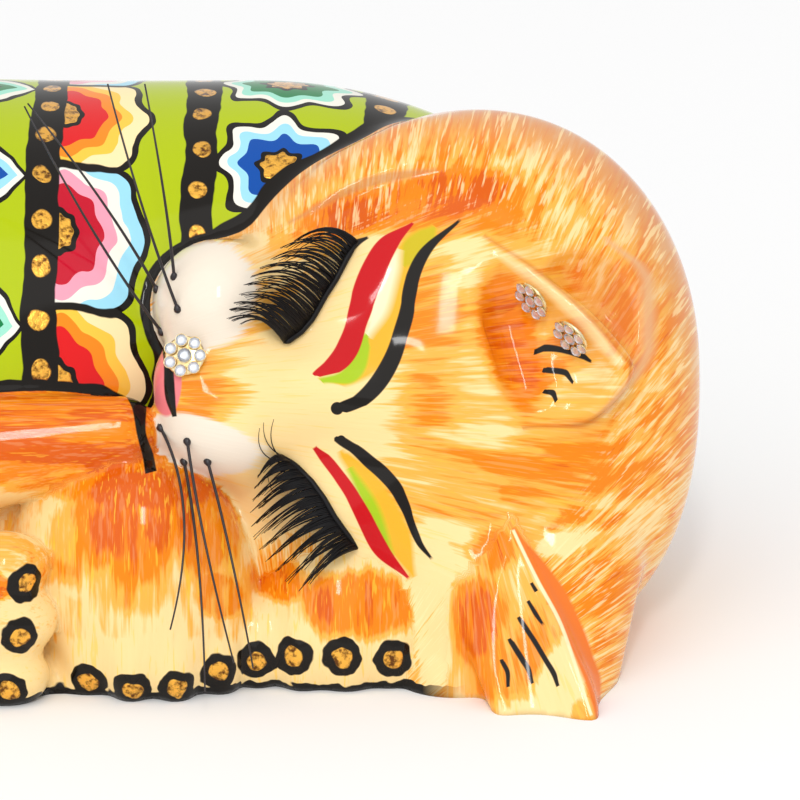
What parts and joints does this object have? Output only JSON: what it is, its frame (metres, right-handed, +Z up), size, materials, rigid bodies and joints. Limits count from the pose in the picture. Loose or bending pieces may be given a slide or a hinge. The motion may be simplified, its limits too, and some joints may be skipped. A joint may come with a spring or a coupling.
{
  "type": "sleeping cat ornament",
  "caption": "Sleeping cat ornament in painted and lacquered papier-mache, lying on its cheek, with bristle whiskers, false lashes and rhinestone flowers.",
  "frame": {"origin": "on the table under the middle of the bounding box", "axes": "+Z up, X from the tail end (-X) to the crown of the head (+X), the face and paws look to -Y"},
  "size_m": [0.2497, 0.1379, 0.1055],
  "materials": {
    "painted_lacquer": "hand-painted in many colours and gold leaf under a clear gloss lacquer",
    "whisker_bristle": "stiff black nylon bristle, slightly shiny",
    "lash_hair": "black false-eyelash hair on a thin thread band",
    "gilt_setting": "thin gilt stamping, polished",
    "rhinestone": "clear cut glass with facets"
  },
  "bodies": {
    "root": {"cat": "painted_lacquer", "whisker_upper_1": "whisker_bristle", "whisker_upper_2": "whisker_bristle", "whisker_upper_3": "whisker_bristle", "whisker_upper_4": "whisker_bristle", "whisker_lower_1": "whisker_bristle", "whisker_lower_2": "whisker_bristle", "whisker_lower_3": "whisker_bristle", "whisker_lower_4": "whisker_bristle", "eyelash_upper": "lash_hair", "eyelash_lower": "lash_hair", "flower_nose_setting": "gilt_setting", "flower_ear_inner_setting": "gilt_setting", "flower_ear_outer_setting": "gilt_setting", "flower_nose_stone_0": "rhinestone", "flower_nose_stone_1": "rhinestone", "flower_nose_stone_2": "rhinestone", "flower_nose_stone_3": "rhinestone", "flower_nose_stone_4": "rhinestone", "flower_nose_stone_5": "rhinestone", "flower_nose_stone_6": "rhinestone", "flower_nose_stone_7": "rhinestone", "flower_ear_inner_stone_0": "rhinestone", "flower_ear_inner_stone_1": "rhinestone", "flower_ear_inner_stone_2": "rhinestone", "flower_ear_inner_stone_3": "rhinestone", "flower_ear_inner_stone_4": "rhinestone", "flower_ear_inner_stone_5": "rhinestone", "flower_ear_inner_stone_6": "rhinestone", "flower_ear_inner_stone_7": "rhinestone", "flower_ear_outer_stone_0": "rhinestone", "flower_ear_outer_stone_1": "rhinestone", "flower_ear_outer_stone_2": "rhinestone", "flower_ear_outer_stone_3": "rhinestone", "flower_ear_outer_stone_4": "rhinestone", "flower_ear_outer_stone_5": "rhinestone", "flower_ear_outer_stone_6": "rhinestone", "flower_ear_outer_stone_7": "rhinestone"}
  },
  "joints": []
}
